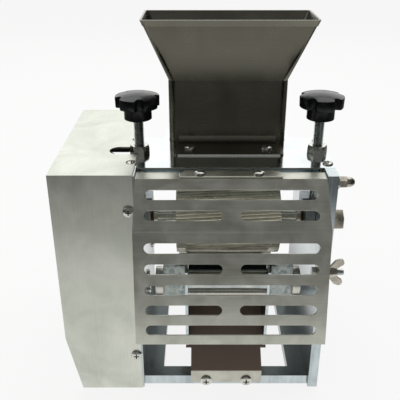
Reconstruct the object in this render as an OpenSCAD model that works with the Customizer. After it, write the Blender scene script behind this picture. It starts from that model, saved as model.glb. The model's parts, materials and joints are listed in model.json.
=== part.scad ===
// Two-roller grain mill with a hopper, an adjustable front roller, a driven rear roller,
// a swing-up slotted guard, a discharge chute and a gear drive in a side casing.
// X runs across the mill, Y to the back and Z up. Sizes are in millimetres.

/* [Frame] */
// Clear width between the two cheeks
frame_gap = 176; // [160:1:200]
// Thickness of each cheek
cheek_t = 10; // [8:0.5:12]
// Height of the cheeks
frame_h = 248; // [240:1:256]
// Depth of the cheeks at the floor
frame_d = 182; // [178:1:190]
// Height of the vertical back edge of the cheeks
cheek_back_h = 150; // [140:1:160]
// Thickness of the top plate
top_t = 10; // [8:0.5:12]
// Front edge of the top plate
top_front = 20; // [20:0.5:24]
// Back edge of the top plate at the sides
top_back = 101; // [96:1:106]
// Thickness of the base plate
base_t = 11; // [9:0.5:13]
// Front edge of the base plate
base_front = 5; // [4:0.5:8]
// Width of the front and back strips of the base plate
base_strip_y = 15; // [13:1:20]
// Width of the side strips of the base plate
base_strip_x = 20; // [16:1:26]

/* [Rollers] */
// Outside diameter of both rollers
roller_d = 76; // [70:1:78]
// Length of both rollers
roller_len = 104; // [90:1:112]
// Gap between the rollers as set
roller_gap = 1; // [0.8:0.1:2]
// Diameter of both roller shafts
shaft_d = 12; // [10:0.5:15]
// Distance of the front roller's axis behind the cheek fronts
front_axis_y = 61; // [58:0.5:64]
// Height of the front roller's axis
front_axis_z = 177; // [172:1:180]
// Slope of the line from the front axis down to the rear axis
roller_slope = 36; // [30:1:42]
// Number of flutes round a roller
flutes = 72; // [40:2:80]
// Depth of a flute
flute_depth = 0.7; // [0.5:0.1:1.6]
// Helix angle of the flutes
flute_helix = 3; // [0:0.5:8]

/* [Roller adjustment] */
// Width and height of a bearing block
block_w = 36; // [32:1:40]
// How far a block's guide lips stand past its body
block_lip = 5; // [4:0.5:7]
// Travel of the front roller up from where it is set
lift_up = 4; // [2:0.5:5]
// Travel of the front roller down from where it is set
lift_down = 1; // [0.5:0.1:1]
// Thread diameter of the star screws
screw_d = 10; // [8:1:12]
// Height of the underside of a star knob above the top plate
knob_z = 35; // [26:1:42]
// Diameter over the lobes of a star knob
knob_d = 43; // [36:1:46]
// Height of the lobed part of a knob
knob_h = 14; // [10:1:18]
// Height of a knob's collar
knob_collar_h = 12; // [8:1:14]
// Lobes of a knob
knob_lobes = 5; // [4:1:7]

/* [Hopper] */
// Width of the hopper at its rim
rim_w = 169; // [150:1:180]
// Depth of the hopper at its rim
rim_d = 63; // [56:1:72]
// Height of the rim above the floor
rim_z = 373; // [355:1:385]
// Height of the folded lip at the rim
lip_h = 6; // [4:0.5:9]
// Width of the neck
neck_w = 120; // [112:1:124]
// Depth of the neck
neck_d = 32; // [28:1:36]
// Front face of the neck
neck_front = 89; // [86:0.5:91]
// Height at which the neck opens out
flare_z = 312; // [300:1:325]
// Radius of the neck's corners
neck_r = 8; // [4:0.5:11]
// Sheet thickness of the hopper
hopper_t = 1.5; // [1:0.1:2]
// Width of the hopper's foot
foot_w = 108; // [90:1:112]
// Front edge of the hopper's foot
foot_front = 50; // [46:1:56]

/* [Guard] */
// Sheet thickness of the guard
guard_t = 1.5; // [1:0.1:2]
// Height of the hinge axis
hinge_z = 239; // [238:0.5:240]
// Distance of the hinge axis behind the cheek fronts
hinge_y = 7.5; // [7:0.5:8]
// Forward reach of the bend between the two panels
bend_reach = 38; // [32:1:44]
// Height of that bend
bend_z = 212; // [206:1:216]
// Forward reach of the bottom edge
hem_reach = 56; // [50:1:62]
// Height of the bottom edge
hem_z = 103; // [100:1:110]
// Height of a slot
slot_h = 10; // [8:0.5:12]
// Pitch of the slot rows
slot_pitch = 20; // [18:0.5:20.5]
// Length of a long slot
slot_len = 156; // [140:1:160]
// Web between two short slots
slot_web = 16; // [12:1:24]
// How far the guard swings up
guard_swing = 100; // [60:5:105]
// Height of the wing nut's stud
stud_z = 143; // [140:0.5:146]

/* [Drive] */
// Width of the drive casing outside the left cheek
casing_w = 69; // [66:1:76]
// Depth of the drive casing behind the cheeks
casing_d = 13; // [10:1:23]
// Sheet thickness of the casing
casing_t = 1.5; // [1:0.1:2]
// Height of the taper at the foot of the casing
taper_h = 66; // [50:1:70]
// Width of that taper
taper_w = 13; // [8:1:14]
// Teeth of the roller gear
gear_teeth = 36; // [32:1:38]
// Teeth of the pinion
pinion_teeth = 14; // [13:1:16]
// Module of the gears
gear_module = 2; // [1.8:0.1:2]
// Width of the gears
gear_w = 10; // [8:0.5:11]
// Diameter of the motor
motor_d = 46; // [40:1:48]

/* [Chute] */
// Clear width between the chute's side plates
chute_w = 81; // [76:1:84]
// Thickness of the chute's side plates
chute_wall_t = 3; // [2:0.5:4]
// Width of the front lip of the chute sheet
lip_w = 75.6; // [60:1:76]
// Height of the bend of the front lip
lip_z = 20; // [18:0.5:24]
// Slope of the chute sheet
chute_slope = 35; // [33:0.5:36]
// Length of the sloping sheet
chute_len = 118; // [100:1:120]
// Diameter of the scraper bar
bar_d = 12; // [10:0.5:14]
// Distance of the scraper bar behind the cheek fronts
bar_y = 22; // [21:0.5:24]
// Height of the scraper bar
bar_z = 122; // [118:0.5:124]

/* [Fits] */
// Radial clearance of a running fit
fit = 0.05; // [0.03:0.01:0.08]
// Gap between parts that only slide or pass each other
slip = 0.3; // [0.3:0.05:0.5]

/* [Hidden] */
$fn = 48;
eps = 0.01;
cheek_in = frame_gap / 2;
cheek_out = cheek_in + cheek_t;
casing_left = cheek_out + casing_w;
// the acorn nut reaches furthest to the right, the guard's hem to the front
washer_t = 1.6;
acorn_hex = 7;
acorn_len = 15;
right_reach = cheek_out + washer_t + acorn_len;
inlet_lip = 3;
casing_back = frame_d + casing_d;
origin_x = (right_reach - casing_left) / 2;
origin_y = (casing_back + inlet_lip - hem_reach) / 2;

// roller axes
axis_dist = roller_d + roller_gap;
rear_axis_y = front_axis_y + axis_dist * cos(roller_slope);
rear_axis_z = front_axis_z - axis_dist * sin(roller_slope);
front_at = [front_axis_y, front_axis_z];
rear_at = [rear_axis_y, rear_axis_z];

// bearing blocks
block_x0 = cheek_in - cheek_t;
block_top = front_axis_z + block_w / 2;
bush_wall = 3;
bush_flange_t = 2;
bush_flange_w = 2.5;
window_bottom = front_axis_z - block_w / 2 - lift_down - 1;
button_r = screw_d * 0.45;
neck_screw_r = screw_d * 0.3;
button_t = 3;
button_z = block_top - 8;
nut_across = screw_d * 1.7;
nut_h = screw_d * 0.8;
knob_foot = frame_h + knob_z;
// how deep the star screw goes into its knob
knob_bore = 10;
// radial room of a seat that holds its part fast
press = 0.02;

// drive
gear_x = cheek_out + 5;
housing_r = 20;
housing_t = 7;
housing_face = cheek_in - housing_t - 4;
pinion_drop = gear_module * (gear_teeth + pinion_teeth) / 2;
pinion_at = [rear_axis_y, rear_axis_z - pinion_drop];
pinion_shaft_r = 5;
gearbox_x = gear_x + gear_w + 4;
gearbox_w = casing_left - casing_t - 5 - gearbox_x;
gearbox_y = 56;
gearbox_z = 54;
ear_w = 12;
motor_x = casing_left - casing_t - 2 - motor_d / 2;
motor_z0 = pinion_at[1] + gearbox_z / 2;
motor_len = 96;
cap_h = 14;
groove_w = 3;
groove_pitch = 9;
groove_depth = 1.2;
groove_start = 18;

// guard outline, from the back of the flange to the hem
hinge_w = 10;
flange_z = hinge_z + hinge_w / 2;
flange_back = 2 * hinge_y;
wing_out = cheek_in - 0.5;
strip_t = 2;
strip_half = 47;
strip_front = 1;
strip_cut = 4.5;
stud_y = 5;
stud_r = 3;
notch_r = stud_r + 0.5;
notch_y = stud_y;

// chute
lip_y = base_front - 2;
chute_t = 2;
chute_wall = chute_w / 2;
pan_r = 5.6;

// ---- helpers ----
module place() { translate([-origin_x, -origin_y, 0]) children(); }
// a plate or rod drawn in the Y-Z plane and extruded along X from x0 to x1
module along_x(x0, x1) {
    translate([min(x0, x1), 0, 0]) rotate([90, 0, 90]) linear_extrude(abs(x1 - x0)) children();
}
module x_rod(x0, x1, at, r) {
    translate([min(x0, x1), at[0], at[1]]) rotate([0, 90, 0]) cylinder(h = abs(x1 - x0), r = r);
}
module rounded_rect(w, d, r) {
    square([w - 2 * r, d], center = true);
    square([w, d - 2 * r], center = true);
    for (sx = [-1, 1], sy = [-1, 1]) translate([sx * (w / 2 - r), sy * (d / 2 - r)]) circle(r);
}
// pan-head screw pointing down its own -Z, head above z = 0
module pan_screw(head_r, head_h, thread_r, thread_len) {
    translate([0, 0, -thread_len]) cylinder(h = thread_len + eps, r = thread_r);
    difference() {
        rotate_extrude() polygon(concat([[0, 0]], [for (i = [0:6])
            [head_r * (i == 6 ? 0 : cos(i * 15)), i == 0 ? 0 : head_h * (0.25 + 0.75 * sin(i * 15))]]));
        for (a = [0, 90]) rotate(a) translate([0, 0, head_h])
            cube([head_r, head_r * 0.22, head_h * 1.1], center = true);
    }
}
module hex_prism(across, h) { cylinder(h = h, r = across / sqrt(3), $fn = 6); }
function polar(r, a) = [r * cos(a), r * sin(a)];

// ---- frame ----
function cheek_outline() = [[0, 0], [frame_d, 0], [frame_d, cheek_back_h],
    [top_back + 12, frame_h - top_t], [top_front, frame_h - top_t], [top_front, frame_h], [0, frame_h]];
module cheek_blank() {
    difference() {
        polygon(cheek_outline());
        // block window, open to the top
        translate([front_axis_y - block_w / 2 - slip, window_bottom])
            square([block_w + 2 * slip, frame_h]);
    }
}
module cheek(side) {
    difference() {
        along_x(side * cheek_in, side * cheek_out) cheek_blank();
        x_rod(-cheek_out - 1, cheek_out + 1, rear_at, shaft_d / 2 + 1);
        x_rod(-cheek_out - 1, cheek_out + 1, [hinge_y, hinge_z], stud_r + fit);
        for (p = base_screw_spots()) x_rod(-cheek_out - 1, cheek_out + 1, p, 3 + fit);
        x_rod(-cheek_out - 1, cheek_out + 1, [bar_y, bar_z], bar_d / 2 - 3 + fit);
        for (p = top_screw_spots(side)) translate([p[0], p[1], frame_h - top_t - 14])
            cylinder(h = 15, r = 2.5 + fit);
        for (a = housing_angles()) let (q = rear_at + polar(housing_r - 5, a))
            x_rod(side * (cheek_in - 1), side * (cheek_in + 8), q, 2 + fit);
    }
}
function housing_angles() = [45:90:315];
function base_screw_spots() = [for (y = [base_front + 12, frame_d - 14]) [y, base_t / 2 + 1.2]];
function top_screw_spots(side) =
    [for (y = [top_front + 10, top_back - 8]) [side * (cheek_in + cheek_t / 2), y]];
module left_cheek() {
    color("#b9c2c4") difference() {
        cheek(-1);
        for (z = casing_screw_heights()) translate([-cheek_in - casing_screw_in, 15, z])
            rotate([90, 0, 0]) cylinder(h = 16, r = 2.5 + fit);
        for (p = gearbox_bolt_spots()) x_rod(-cheek_out - 1, -cheek_in + 1, p, 3 + fit);
    }
}
casing_screw_in = 6.5;
function casing_screw_heights() = [45, 213];
// bolts in ears either side of the gearbox, clear of the roller gear above
function gearbox_bolt_spots() = [for (sy = [-1, 1], dz = [-16, 6])
    pinion_at + [sy * (gearbox_y / 2 + ear_w / 2), dz]];
module right_cheek() {
    color("#c3cdd2") difference() {
        cheek(1);
        // open notch that takes the guard's stud
        x_rod(cheek_in - 1, cheek_out + 1, [notch_y, stud_z], notch_r);
        translate([cheek_in - 1, -1, stud_z - notch_r]) cube([cheek_t + 2, notch_y + 1, 2 * notch_r]);
        x_rod(cheek_in - 1, cheek_out + 1, [stop_bolt_y, stop_bolt_z], stop_bolt_d / 2 + fit);
    }
}
stop_bolt_y = 12;
stop_bolt_z = 198;
stop_bolt_d = 12;
module base_plate() {
    color("#aeb8bb") difference() {
        translate([-cheek_in, base_front, 0]) cube([frame_gap, frame_d - base_front, base_t]);
        translate([-cheek_in + base_strip_x, base_front + base_strip_y, -1])
            cube([frame_gap - 2 * base_strip_x, frame_d - base_front - 2 * base_strip_y, base_t + 2]);
        for (x = chute_screw_x()) translate([x, base_front - 1, lip_screw_z()])
            rotate([-90, 0, 0]) cylinder(h = 13, r = 2.5 + fit);
        for (p = base_screw_spots(), s = [-1, 1]) x_rod(s * (cheek_in - 14), s * (cheek_in + 1), p, 3 + fit);
    }
}
module base_screws() {
    color("#c9c9c4") for (p = base_screw_spots(), s = [-1, 1])
        translate([s * cheek_out, p[0], p[1]]) rotate([0, s * 90, 0]) pan_screw(5, 3.2, 3, cheek_t + 12);
}
// width of the plate that closes round the back of the neck
tongue_rim = 5;
module top_plate() {
    color("#d7dbdb") difference() {
        translate([0, 0, frame_h - top_t]) linear_extrude(top_t) difference() {
            union() {
                translate([-cheek_out, top_front]) square([2 * cheek_out, top_back - top_front]);
                translate([-neck_w / 2 - tongue_rim, top_back - 5])
                    square([neck_w + 2 * tongue_rim, neck_front + neck_d + tongue_rim - top_back + 5]);
            }
            translate([0, neck_mid]) rounded_rect(neck_w + 2 * slip, neck_d + 2 * slip, neck_r);
        }
        for (s = [-1, 1]) translate([s * cheek_in, front_axis_y, frame_h - top_t - 1])
            cylinder(h = top_t + 2, r = screw_d / 2 + fit);
        for (s = [-1, 1], p = top_screw_spots(s)) translate([p[0], p[1], frame_h - top_t - 1])
            cylinder(h = top_t + 2, r = 2.5 + fit);
        for (p = foot_screw_spots()) translate([p[0], p[1], frame_h - top_t - 1])
            cylinder(h = top_t + 2, r = 2.5 + fit);
    }
}
module top_plate_screws() {
    color("#c9c9c4") for (s = [-1, 1], p = top_screw_spots(s))
        translate([p[0], p[1], frame_h]) pan_screw(5, 2.2, 2.5, top_t + 12);
}

// ---- hopper ----
function foot_screw_spots() = [for (x = [-38, 38]) [x, foot_front + 16]];
neck_mid = neck_front + neck_d / 2;
throat_z = front_axis_z + roller_d / 2 - 4;
// the lip leans out by fold_w from the top of the flare to the rim
fold_w = 2;
lip_z0 = rim_z - lip_h;
module hopper_level(z, inset, r) {
    translate([0, neck_mid, z]) linear_extrude(0.1)
        rounded_rect(rim_w - 2 * inset, rim_d - 2 * inset, r, $fn = 32);
}
// the hopper's outside where shell is 0, its inside where shell is the sheet's thickness
module hopper_form(shell) {
    below = shell > 0 ? 1 : 0;
    translate([0, neck_mid, throat_z - below]) linear_extrude(flare_z - throat_z + 0.1 + below)
        rounded_rect(neck_w - 2 * shell, neck_d - 2 * shell, neck_r - shell);
    hull() {
        translate([0, neck_mid, flare_z]) linear_extrude(0.1)
            rounded_rect(neck_w - 2 * shell, neck_d - 2 * shell, neck_r - shell, $fn = 32);
        hopper_level(lip_z0, fold_w + 0.6 + shell, neck_r / 2);
    }
    hull() {
        hopper_level(lip_z0, (shell > 0 ? fold_w + 0.6 : fold_w) + shell, neck_r / 2);
        hopper_level(rim_z - 0.1 + below, shell, neck_r / 3);
    }
}
module hopper() {
    color("#6f6d66") difference() {
        union() {
            hopper_form(0);
            // foot bent forward from the neck
            translate([0, (foot_front + neck_front + 2) / 2, frame_h]) linear_extrude(hopper_t)
                rounded_rect(foot_w, neck_front + 2 - foot_front, 4);
            along_x(-foot_w / 2 + 4, foot_w / 2 - 4) difference() {
                translate([neck_front - 6, frame_h]) square([6 + 1, 6 + hopper_t]);
                translate([neck_front - 6, frame_h + 6 + hopper_t]) circle(6);
            }
        }
        hopper_form(hopper_t);
        // the neck's mouth follows both rollers
        x_rod(-neck_w, neck_w, front_at + [0, lift_up], roller_d / 2 + 1.5);
        x_rod(-neck_w, neck_w, front_at, roller_d / 2 + 1.5);
        for (p = foot_screw_spots()) translate([p[0], p[1], frame_h - 1]) cylinder(h = 5, r = 2.5 + fit);
    }
}
module hopper_screws() {
    color("#c9c9c4") for (p = foot_screw_spots())
        translate([p[0], p[1], frame_h + hopper_t]) pan_screw(pan_r, 3.4, 2.5, top_t - 1);
}

// ---- front roller and its adjustment ----
// slot for the button end of the star screw, open to the middle of the mill
module button_slot(side, r, z, h) {
    translate([side * cheek_in, front_axis_y, z]) cylinder(h = h, r = r);
    translate([min(side * (cheek_in - slot_reach), side * cheek_in), front_axis_y - r, z])
        cube([slot_reach, 2 * r, h]);
}
slot_reach = 13;
module bearing_block(side) {
    difference() {
        union() {
            // body in the cheek's window, and guide lips against its inner face
            along_x(side * (cheek_in - slip), side * (cheek_out - slip))
                translate([front_axis_y - block_w / 2 + fit, front_axis_z - block_w / 2])
                    square([block_w - 2 * fit, block_w]);
            along_x(side * block_x0, side * (cheek_in - slip))
                translate([front_axis_y - block_w / 2 - block_lip, front_axis_z - block_w / 2])
                    square([block_w + 2 * block_lip, block_w]);
        }
        x_rod(-cheek_out - 1, cheek_out + 1, front_at, shaft_d / 2 + bush_wall);
        button_slot(side, button_r + slip, button_z - fit, button_t + 2 * fit);
        button_slot(side, neck_screw_r + slip, button_z, block_top - button_z + 1);
    }
}
module left_block() { color("#8b9398") bearing_block(-1); }
module right_block() { color("#8b9398") bearing_block(1); }
module bush(side) {
    difference() {
        union() {
            x_rod(side * block_x0, side * (cheek_out - slip), front_at, shaft_d / 2 + bush_wall);
            x_rod(side * (block_x0 - bush_flange_t), side * block_x0, front_at,
                shaft_d / 2 + bush_wall + bush_flange_w);
        }
        x_rod(-cheek_out - 1, cheek_out + 1, front_at, shaft_d / 2 + fit);
    }
}
module block_bushes() { color("#b08d4a") for (s = [-1, 1]) bush(s); }
function flute_points(r) = [for (i = [0:flutes - 1], k = [0:2]) let (a = 360 / flutes)
    polar(k == 2 ? r - flute_depth : r, a * (i + [0, 0.45, 0.8][k]))];
module fluted_roller(at) {
    twist = roller_len * tan(flute_helix) / (roller_d / 2) * 180 / PI;
    difference() {
        translate([-roller_len / 2, at[0], at[1]]) rotate([0, 90, 0])
            linear_extrude(roller_len, twist = twist, slices = 4) polygon(flute_points(roller_d / 2));
        x_rod(-roller_len, roller_len, at, shaft_d / 2 + press);
    }
}
module front_roller() { color("#cfc8b4") fluted_roller(front_at); }
module front_shaft() {
    color("#9aa0a3") {
        x_rod(-cheek_out + 1, cheek_out - 1, front_at, shaft_d / 2);
        // set collars that run against the bush flanges
        for (s = [-1, 1]) x_rod(s * (block_x0 - bush_flange_t - slip), s * (block_x0 - bush_flange_t - 4),
            front_at, shaft_d / 2 + 3);
    }
}
module star_screw(side) {
    translate([side * cheek_in, front_axis_y, 0]) {
        translate([0, 0, button_z]) cylinder(h = button_t, r = button_r);
        translate([0, 0, button_z]) cylinder(h = block_top + 2 - button_z, r = neck_screw_r);
        translate([0, 0, block_top + 2]) cylinder(h = knob_foot + knob_bore - block_top - 2, r = screw_d / 2);
    }
}
module left_screw() { color("#a9aeac") star_screw(-1); }
module right_screw() { color("#a9aeac") star_screw(1); }
module star_knob(side) {
    lobe_r = knob_d * 0.18;
    translate([side * cheek_in, front_axis_y, knob_foot]) difference() {
        union() {
            cylinder(h = knob_collar_h + eps, r1 = knob_d * 0.3, r2 = knob_d * 0.34);
            intersection() {
                translate([0, 0, knob_collar_h]) linear_extrude(knob_h) {
                    circle(knob_d * 0.37);
                    for (i = [0:knob_lobes - 1]) rotate(i * 360 / knob_lobes - 90) {
                        translate([knob_d / 2 - lobe_r, 0]) circle(lobe_r);
                        translate([0, -lobe_r * 0.9]) square([knob_d / 2 - lobe_r, lobe_r * 1.8]);
                    }
                }
                // domed top and chamfered underside
                rotate_extrude($fn = 64) polygon([[0, 0], [knob_d * 0.44, knob_collar_h],
                    [knob_d / 2, knob_collar_h + 2.5], [knob_d / 2, knob_collar_h + knob_h - 5],
                    [knob_d * 0.46, knob_collar_h + knob_h - 2.2],
                    [knob_d * 0.38, knob_collar_h + knob_h - 0.7],
                    [knob_d * 0.25, knob_collar_h + knob_h], [0, knob_collar_h + knob_h]]);
            }
        }
        translate([0, 0, -1]) cylinder(h = knob_bore + 1.1, r = screw_d / 2 + press);
    }
}
module left_knob() { color("#17181a") star_knob(-1); }
module right_knob() { color("#17181a") star_knob(1); }
module lock_nuts() {
    color("#b9bab4") for (s = [-1, 1]) translate([s * cheek_in, front_axis_y, frame_h]) difference() {
        intersection() {
            hex_prism(nut_across, nut_h);
            cylinder(h = nut_h, r1 = nut_across * 0.62, r2 = nut_across * 0.53);
        }
        translate([0, 0, -1]) cylinder(h = nut_h + 2, r = screw_d / 2 + fit);
    }
}

// ---- rear roller and drive ----
module rear_roller() { color("#cfc8b4") fluted_roller(rear_at); }
module rear_shaft() {
    color("#9aa0a3") {
        x_rod(-gear_x - gear_w - 2, cheek_out - 2, rear_at, shaft_d / 2);
        for (s = [-1, 1]) x_rod(s * (housing_face - slip), s * (housing_face - 4), rear_at, shaft_d / 2 + 3);
    }
}
module bearing_housings() {
    color("#8f989b") for (s = [-1, 1]) difference() {
        union() {
            x_rod(s * (cheek_in - housing_t), s * cheek_in, rear_at, housing_r);
            x_rod(s * housing_face, s * (cheek_in - housing_t), rear_at, shaft_d / 2 + 4);
        }
        x_rod(-cheek_out, cheek_out, rear_at, shaft_d / 2 + fit);
        for (a = housing_angles())
            x_rod(-cheek_out, cheek_out, rear_at + polar(housing_r - 5, a), 2 + fit);
    }
}
module housing_screws() {
    color("#6f7478") for (s = [-1, 1], a = housing_angles()) let (q = rear_at + polar(housing_r - 5, a))
        translate([s * (cheek_in - housing_t), q[0], q[1]]) rotate([0, -s * 90, 0])
            pan_screw(3.4, 2.2, 2, housing_t + 7);
}
// involute spur gear outline
function inv(a) = tan(a) * 180 / PI - a;
function gear_outline(m, n, backlash) = let (
    rp = m * n / 2, rb = rp * cos(20), ra = rp + m, rf = rp - 1.25 * m,
    half = (PI * m / 2 - backlash) / 2 / rp * 180 / PI,
    flank = [for (r = [max(rb, rf + 0.3), max(rb, rp - m * 0.5) + 0.1, rp, rp + m * 0.5, ra])
        [r, half + inv(20) - inv(acos(min(1, rb / r)))]],
    last = len(flank) - 1)
    [for (i = [0:n - 1], k = [0:2 * last + 3]) let (c = i * 360 / n)
        k == 0 ? polar(rf, c - flank[0][1] - 0.6)
        : k <= last + 1 ? polar(flank[k - 1][0], c - flank[k - 1][1])
        : k <= 2 * last + 2 ? polar(flank[2 * last + 2 - k][0], c + flank[2 * last + 2 - k][1])
        : polar(rf, c + flank[0][1] + 0.6)];
backlash = 0.35;
module roller_gear() {
    color("#8c8f8d") difference() {
        union() {
            along_x(-gear_x, -gear_x - gear_w) translate(rear_at) rotate(-90)
                polygon(gear_outline(gear_module, gear_teeth, backlash));
            x_rod(-gear_x, -gear_x - gear_w - 1, rear_at, shaft_d / 2 + 7);
        }
        x_rod(-cheek_out, -gear_x - gear_w - 3, rear_at, shaft_d / 2 + press);
        for (a = [30:60:330]) x_rod(-gear_x + 1, -gear_x - gear_w - 1.5,
            rear_at + polar((gear_module * gear_teeth / 2 + shaft_d / 2 + 5) / 2, a), 5);
    }
}
module pinion() {
    color("#7d8181") {
        along_x(-gear_x, -gear_x - gear_w) translate(pinion_at) rotate(90 + 180 / pinion_teeth)
            polygon(gear_outline(gear_module, pinion_teeth, backlash));
        x_rod(-gear_x - gear_w, -gearbox_x - 12, pinion_at, pinion_shaft_r);
    }
}
module gearbox() {
    color("#9ea2a1") difference() {
        union() {
            translate([-gearbox_x - gearbox_w, pinion_at[0] - gearbox_y / 2, pinion_at[1] - gearbox_z / 2])
                cube([gearbox_w, gearbox_y, gearbox_z]);
            translate([-gearbox_x - 8, pinion_at[0] - gearbox_y / 2 - ear_w, pinion_at[1] - 24])
                cube([8, gearbox_y + 2 * ear_w, 38]);
            // feet that stand off from the cheek
            for (p = gearbox_bolt_spots()) x_rod(-cheek_out - casing_t, -gearbox_x, p, 6);
        }
        x_rod(-cheek_out, -gearbox_x - 13, pinion_at, pinion_shaft_r + fit);
        for (p = gearbox_bolt_spots()) x_rod(-cheek_in, -gearbox_x - 6, p, 3 + fit);
    }
}
module gearbox_bolts() {
    color("#6f7478") for (p = gearbox_bolt_spots())
        translate([-cheek_in, p[0], p[1]]) rotate([0, 90, 0])
            pan_screw(5, 3, 3, gearbox_x - cheek_in + 4);
}
module motor() {
    color("#5f676b") translate([-motor_x, pinion_at[0], motor_z0]) difference() {
        cylinder(h = motor_len, r = motor_d / 2);
        // cooling grooves round the frame
        for (z = [groove_start:groove_pitch:motor_len - groove_start]) translate([0, 0, z]) difference() {
            cylinder(h = groove_w, r = motor_d);
            translate([0, 0, -1]) cylinder(h = groove_w + 2, r = motor_d / 2 - groove_depth);
        }
    }
}
module motor_cap() {
    cap_r = motor_d / 2 - 1;
    color("#2a2c2e") translate([-motor_x, pinion_at[0], motor_z0 + motor_len]) rotate_extrude()
        polygon([[0, 0], [cap_r, 0], [cap_r, cap_h - 4], [cap_r - 4, cap_h], [0, cap_h]]);
}
function casing_outline(t) = [[-casing_left + t + taper_w, t], [-cheek_in - 1.5, t],
    [-cheek_in - 1.5, frame_h + casing_t - t], [-casing_left + t, frame_h + casing_t - t],
    [-casing_left + t, taper_h]];
notch_w = 20;
notch_reach = 30;
module casing() {
    color("#bcc4bd") difference() {
        translate([0, casing_back, 0]) rotate([90, 0, 0]) linear_extrude(casing_back + casing_t)
            polygon(casing_outline(0));
        translate([0, casing_back - casing_t, 0]) rotate([90, 0, 0]) linear_extrude(casing_back - casing_t)
            polygon(casing_outline(casing_t));
        // open side, behind the front and top flanges that lap the cheek
        translate([-cheek_out, 0, -1]) cube([cheek_t + 5, casing_back + 1, frame_h + 1]);
        translate([-cheek_out, top_back, frame_h - 1]) cube([cheek_t + 5, casing_back, casing_t + 2]);
        // spanner notch round the star screw's lock nut
        translate([0, 0, frame_h - 1]) linear_extrude(casing_t + 2) {
            translate([-cheek_in - notch_reach + notch_w / 2, front_axis_y]) circle(notch_w / 2);
            translate([-cheek_in - notch_reach + notch_w / 2, front_axis_y - notch_w / 2])
                square([notch_reach, notch_w]);
        }
        for (z = casing_screw_heights()) translate([-cheek_in - casing_screw_in, 1, z])
            rotate([90, 0, 0]) cylinder(h = casing_t + 2, r = 2.5 + fit);
        // seats of the left cheek's top screws
        for (p = top_screw_spots(-1)) translate([p[0], p[1], frame_h - 1])
            cylinder(h = casing_t + 2, r = 5.5);
        // inlet and switch cut-outs in the back
        translate([inlet_x, casing_back, inlet_z])
            cube([inlet_w + 2 * slip, 8, inlet_h + 2 * slip], center = true);
        translate([inlet_x, casing_back, switch_z])
            cube([switch_w + 2 * slip, 8, switch_h + 2 * slip], center = true);
        // cooling slots in the back
        for (i = [0:6]) translate([inlet_x, casing_back, vent_z + i * 9]) cube([36, 8, 4], center = true);
    }
}
inlet_x = -cheek_out - casing_w / 2;
inlet_z = 52;
inlet_w = 27;
inlet_h = 20;
inlet_body = 18;
switch_z = 92;
switch_w = 19;
switch_h = 12.8;
vent_z = 140;
module casing_panel() {
    color("#a9b0ab") difference() {
        along_x(-cheek_out, -cheek_out - casing_t) difference() {
            translate([0.2, casing_t + 0.2]) square([casing_back - casing_t - 0.4, frame_h - casing_t - 0.4]);
            translate([front_axis_y - block_w / 2 - slip, window_bottom])
                square([block_w + 2 * slip, frame_h]);
        }
        x_rod(-cheek_in, -gear_x, rear_at, 12);
        for (p = gearbox_bolt_spots()) x_rod(-cheek_in, -gear_x, p, 3 + fit);
        for (p = base_screw_spots()) x_rod(-cheek_in, -gear_x, p, 5.3);
        x_rod(-cheek_in, -gear_x, [hinge_y, hinge_z], 7);
        x_rod(-cheek_in, -gear_x, [bar_y, bar_z], 6.5);
    }
}
module casing_screws() {
    color("#c9c9c4") for (z = casing_screw_heights())
        translate([-cheek_in - casing_screw_in, -casing_t, z]) rotate([90, 0, 0])
            pan_screw(pan_r, 3.4, 2.5, 14);
}
module mains_inlet() {
    color("#1d1e20") difference() {
        union() {
            translate([inlet_x, casing_back - inlet_body / 2, inlet_z])
                cube([inlet_w, inlet_body, inlet_h], center = true);
            translate([inlet_x, casing_back + inlet_lip / 2, inlet_z])
                cube([inlet_w + 7, inlet_lip, inlet_h + 6], center = true);
        }
        translate([inlet_x, casing_back - 5, inlet_z]) cube([inlet_w - 4, 20, inlet_h - 5], center = true);
    }
    color("#c8b273") for (p = [[-6, -2], [0, 3], [6, -2]])
        translate([inlet_x + p[0], casing_back - 9, inlet_z + p[1]]) cube([2, 14, 4], center = true);
}
module switch_frame() {
    color("#1d1e20") difference() {
        union() {
            translate([inlet_x, casing_back - 8, switch_z]) cube([switch_w, 16, switch_h], center = true);
            translate([inlet_x, casing_back + 1, switch_z])
                cube([switch_w + 4, 2, switch_h + 4.2], center = true);
        }
        translate([inlet_x, casing_back - 4, switch_z])
            cube([switch_w - 4, 14, switch_h - 2.4], center = true);
        translate([inlet_x, casing_back - 3, switch_z]) cylinder(h = 12.2, r = 1, center = true);
    }
}
rocker_swing = 8;
rocker_half = 6.9;
module switch_rocker() {
    color("#2c2d30") translate([inlet_x, casing_back - 3, switch_z]) rotate(-rocker_swing) {
        translate([0, 0, slip - switch_h / 2 + 1.2]) linear_extrude(switch_h - 2.4 - 2 * slip)
            polygon([[-rocker_half, -1], [rocker_half, -1], [rocker_half, 3.6], [0, 4.4],
                [-rocker_half, 3.6]]);
        cylinder(h = 12, r = 1 - fit, center = true);
    }
}

// ---- guard ----
module slot_row(len, web) {
    // stadium slots, one long or two short, in a panel's own plane
    runs = web > 0 ? [[-len / 2, -web / 2], [web / 2, len / 2]] : [[-len / 2, len / 2]];
    for (q = runs) {
        translate([q[0] + slot_h / 2, -slot_h / 2]) square([q[1] - q[0] - slot_h, slot_h]);
        for (x = [q[0] + slot_h / 2, q[1] - slot_h / 2]) translate([x, 0]) circle(slot_h / 2);
    }
}
// slot rows of a panel that stands on its lower edge at (y, z) and leans by lean degrees from upright
module panel_slots(y, z, lean, first, rows, odd) {
    translate([0, y, z]) rotate([90 - lean, 0, 0]) translate([0, 0, -guard_t - 1])
        linear_extrude(guard_t + 2) for (i = [0:rows - 1]) translate([0, first + i * slot_pitch])
            slot_row(slot_len, (i + odd) % 2 == 0 ? 0 : slot_web);
}
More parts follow.
